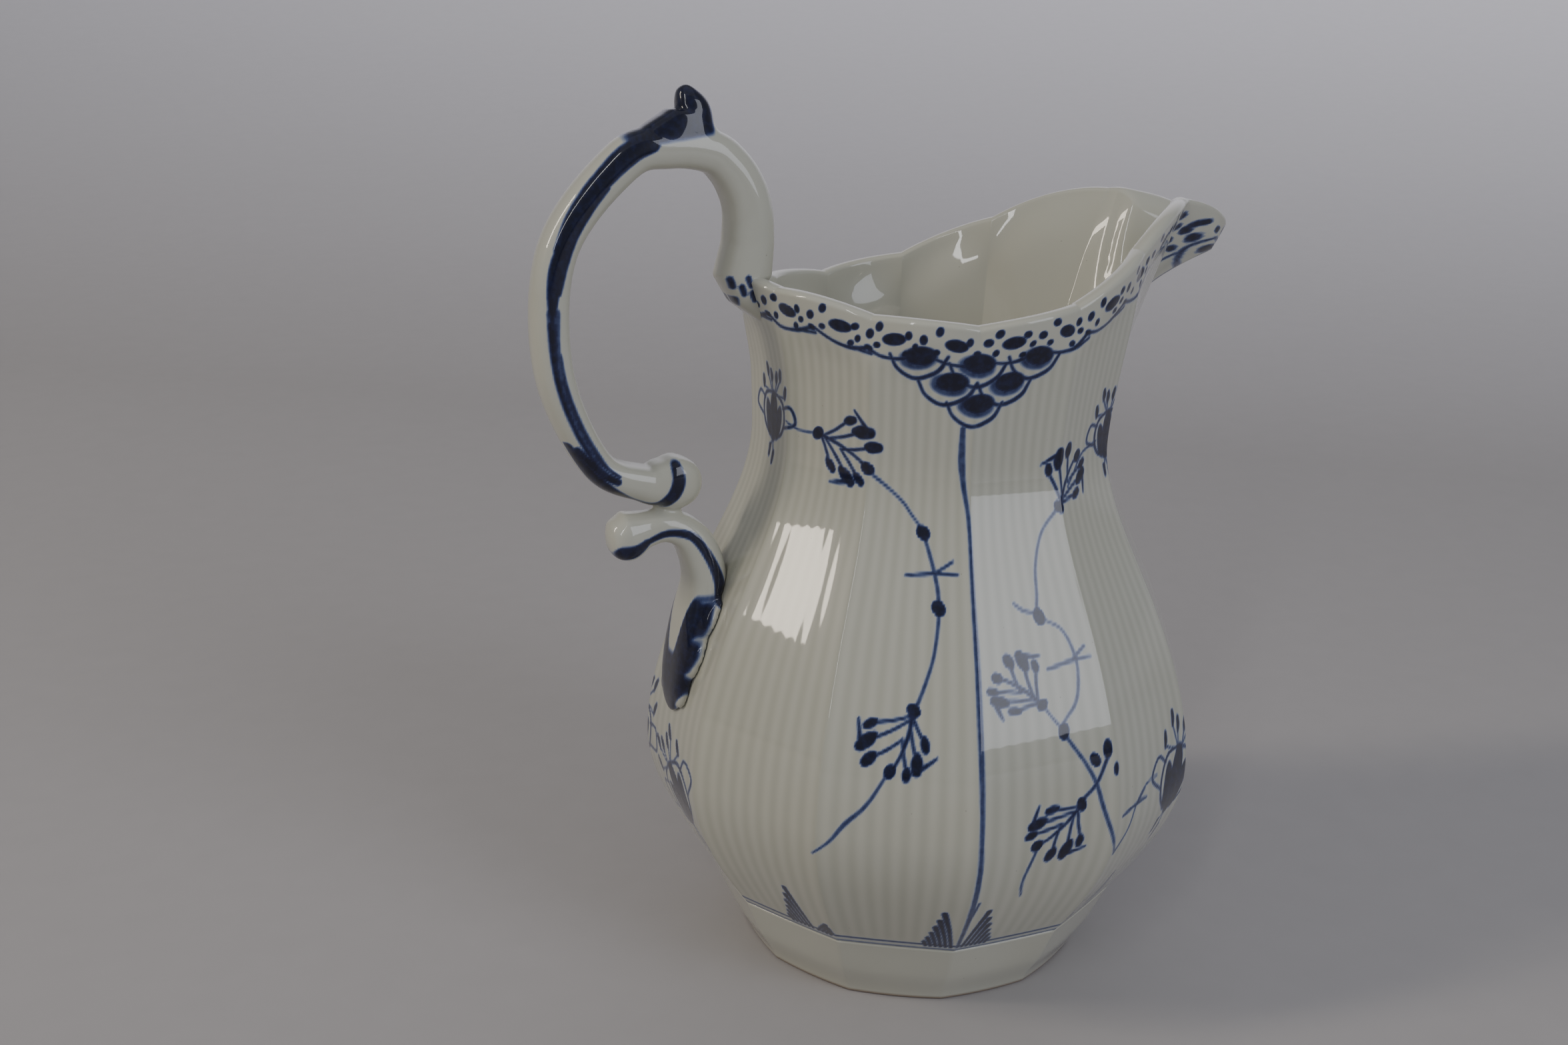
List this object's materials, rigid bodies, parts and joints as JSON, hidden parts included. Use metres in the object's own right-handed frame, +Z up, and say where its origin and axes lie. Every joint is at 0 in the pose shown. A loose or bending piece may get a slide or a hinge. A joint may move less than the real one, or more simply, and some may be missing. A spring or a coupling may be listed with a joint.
{
  "type": "cream jug",
  "caption": "Free-standing twelve-sided porcelain cream jug with a flared rim, a pulled pouring lip and a scrolled strap handle.",
  "frame": {"origin": "centre of the face the foot rests on, on the jug's upright axis", "axes": "+Z up, +X towards the pouring lip, the handle at -X, the mirror plane of the jug is XZ"},
  "size_m": [0.1308, 0.0978, 0.1557],
  "materials": {
    "glazed_porcelain": "transparent glaze over off-white porcelain, glossy",
    "cobalt_glaze": "dark cobalt blue brushed under the glaze, glossy"
  },
  "bodies": {
    "root": {"vessel_body": "glazed_porcelain", "foot_base": "glazed_porcelain", "handle_root": "glazed_porcelain", "handle_arch": "glazed_porcelain", "thumb_rest": "cobalt_glaze", "handle_volute": "glazed_porcelain", "lower_scroll": "glazed_porcelain", "leaf_terminal": "cobalt_glaze"}
  },
  "joints": []
}
